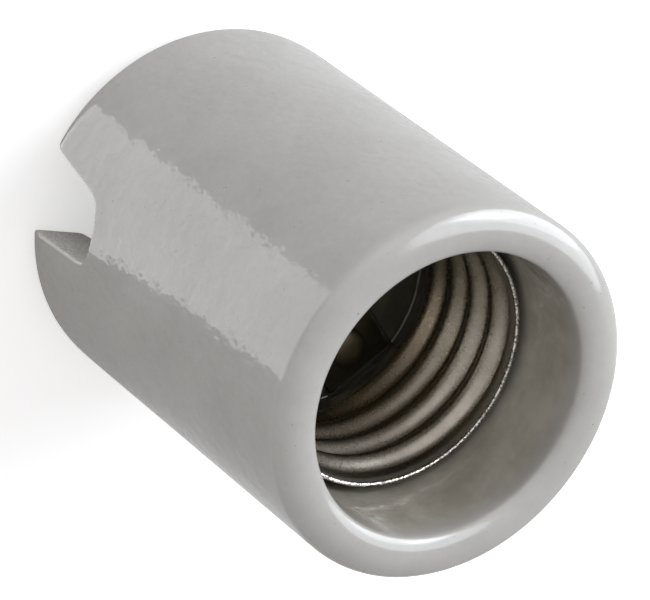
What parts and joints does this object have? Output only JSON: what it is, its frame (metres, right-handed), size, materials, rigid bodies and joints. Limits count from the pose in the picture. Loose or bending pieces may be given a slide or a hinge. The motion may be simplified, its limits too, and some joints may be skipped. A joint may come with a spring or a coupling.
{
  "type": "lamp holder",
  "caption": "Keyless screw-shell lamp holder: one-piece glazed porcelain cylinder with a rounded lip, recessed threaded shell and rear wiring chamber with cable notches.",
  "frame": {"origin": "centre of the rear rim's plane, on the holder's axis", "axes": "+Z along the axis from the rear rim to the mouth, +X out through one of the two cable notches"},
  "size_m": [0.0382, 0.0382, 0.05],
  "materials": {
    "porcelain": "glossy clear glaze over pale warm grey porcelain",
    "shell_plating": "bright nickel plate, slightly tarnished",
    "contact_strip": "nickel plate",
    "rivet_brass": "nickel plated brass",
    "terminal_brass": "rolled brass",
    "clamp_steel": "zinc plated",
    "screw_steel": "zinc plated"
  },
  "bodies": {
    "holder": {"porcelain_body": "porcelain", "screw_shell": "shell_plating", "centre_contact": "contact_strip", "shell_rivet": "rivet_brass", "centre_rivet": "rivet_brass", "shell_terminal": "terminal_brass", "centre_terminal": "terminal_brass"},
    "shell_clamp": {"shell_clamp_washer": "clamp_steel"},
    "shell_screw": {"shell_terminal_screw": "screw_steel"},
    "centre_clamp": {"centre_clamp_washer": "clamp_steel"},
    "centre_screw": {"centre_terminal_screw": "screw_steel"}
  },
  "joints": [
    {"name": "shell_clamp_slide", "type": "slide", "parent": "holder", "child": "shell_clamp", "axis": [0, 0, -1], "range_m": [0, 0.00238]},
    {"name": "shell_screw_turn", "type": "hinge", "parent": "shell_clamp", "child": "shell_screw", "pos_m": [0.0085, 0, 0.0141], "axis": [0, 0, -1], "range_deg": [0, 1080]},
    {"name": "centre_clamp_slide", "type": "slide", "parent": "holder", "child": "centre_clamp", "axis": [0, 0, -1], "range_m": [0, 0.00238]},
    {"name": "centre_screw_turn", "type": "hinge", "parent": "centre_clamp", "child": "centre_screw", "pos_m": [-0.0085, 0, 0.0141], "axis": [0, 0, -1], "range_deg": [0, 1080]}
  ],
  "couplings": [
    {"joint": "shell_screw_turn", "follows": "shell_clamp_slide", "rad_per_m": 7915.8},
    {"joint": "centre_screw_turn", "follows": "centre_clamp_slide", "rad_per_m": 7915.8}
  ]
}
